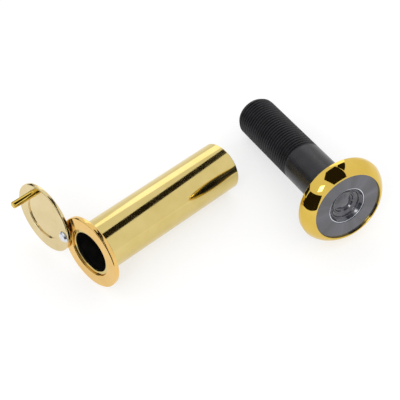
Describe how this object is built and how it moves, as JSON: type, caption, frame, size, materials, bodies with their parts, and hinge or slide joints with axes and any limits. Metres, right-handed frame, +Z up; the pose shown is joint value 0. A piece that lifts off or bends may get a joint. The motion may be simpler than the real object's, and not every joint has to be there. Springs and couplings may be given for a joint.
{
  "type": "door viewer",
  "caption": "Door viewer in two screw-together halves: a brass sleeve with flange and swivel cover, and a black threaded barrel with gold bezel and lenses.",
  "frame": {"origin": "centre of the bottom of the whole box, on the surface that both halves lie on", "axes": "+X along the sleeve in plan, from its flange to its open end, which is the longest extent; +Z up"},
  "size_m": [0.0834, 0.0688, 0.0253],
  "materials": {
    "sleeve_brass": "polished yellow brass plate",
    "flange_brass": "polished warm brass plate",
    "cover_brass": "fine satin pale brass plate",
    "rivet_steel": "bright nickel-plated steel",
    "barrel_black": "satin black oxide on brass",
    "bezel_brass": "high-gloss gold-coloured brass",
    "seal_rubber": "matt black rubber",
    "objective_glass": "polished optical glass over a dark interior",
    "lens_glass": "polished optical glass",
    "spacer_black": "matt black, against stray light"
  },
  "bodies": {
    "sleeve": {"sleeve_tube": "sleeve_brass", "inner_flange": "flange_brass", "pivot_washer": "flange_brass", "pivot_rivet": "rivet_steel"},
    "cover": {"swivel_cover": "cover_brass", "cover_pull_pin": "bezel_brass"},
    "outer_half": {"outer_barrel": "barrel_black", "bezel_ring": "bezel_brass", "lens_seal": "seal_rubber", "objective_lens": "objective_glass", "front_spacer": "sleeve_brass", "second_lens": "lens_glass", "middle_spacer": "spacer_black", "third_lens": "lens_glass", "rear_spacer": "spacer_black", "eyepiece_lens": "lens_glass", "eyepiece_retainer": "spacer_black"}
  },
  "joints": [
    {"name": "cover_swing", "type": "hinge", "parent": "sleeve", "child": "cover", "pos_m": [-0.03556, 0.01573, 0.01095], "axis": [0.9975, 0, -0.0712], "continuous": true},
    {"name": "outer_half_turn", "type": "hinge", "parent": "sleeve", "child": "outer_half", "pos_m": [0.02436, -0.02695, 0.01252], "axis": [0.2674, 0.9514, -0.1524], "continuous": true}
  ]
}
